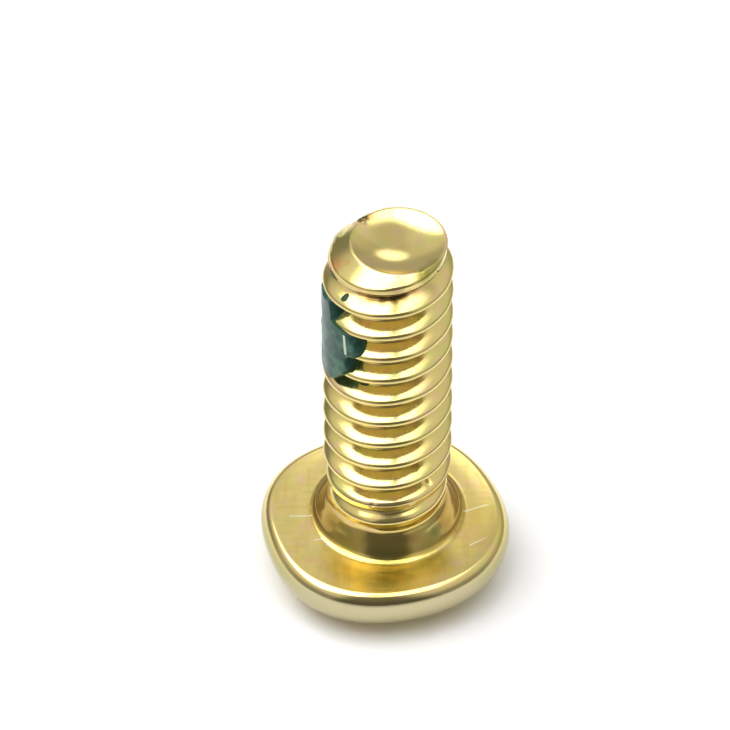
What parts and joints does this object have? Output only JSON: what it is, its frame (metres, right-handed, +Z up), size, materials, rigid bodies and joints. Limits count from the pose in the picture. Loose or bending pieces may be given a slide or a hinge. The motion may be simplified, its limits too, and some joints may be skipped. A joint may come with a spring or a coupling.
{
  "type": "machine screw",
  "caption": "Small pan head machine screw with a cross recess and a rolled right-hand thread, with a dried patch of thread-locking compound near the tip.",
  "frame": {"origin": "centre of the head's flat end, which the screw stands on", "axes": "+Z runs up the screw's axis from the head to the tip; -Y is the side that the picture looks at"},
  "size_m": [0.0054, 0.0054, 0.0093],
  "materials": {
    "plated_steel": "yellow passivated zinc plating, semi-bright",
    "locking_compound": "dried dark green thread-locking compound, slightly glossy"
  },
  "bodies": {
    "root": {"screw": "plated_steel", "locking_patch": "locking_compound"}
  },
  "joints": []
}
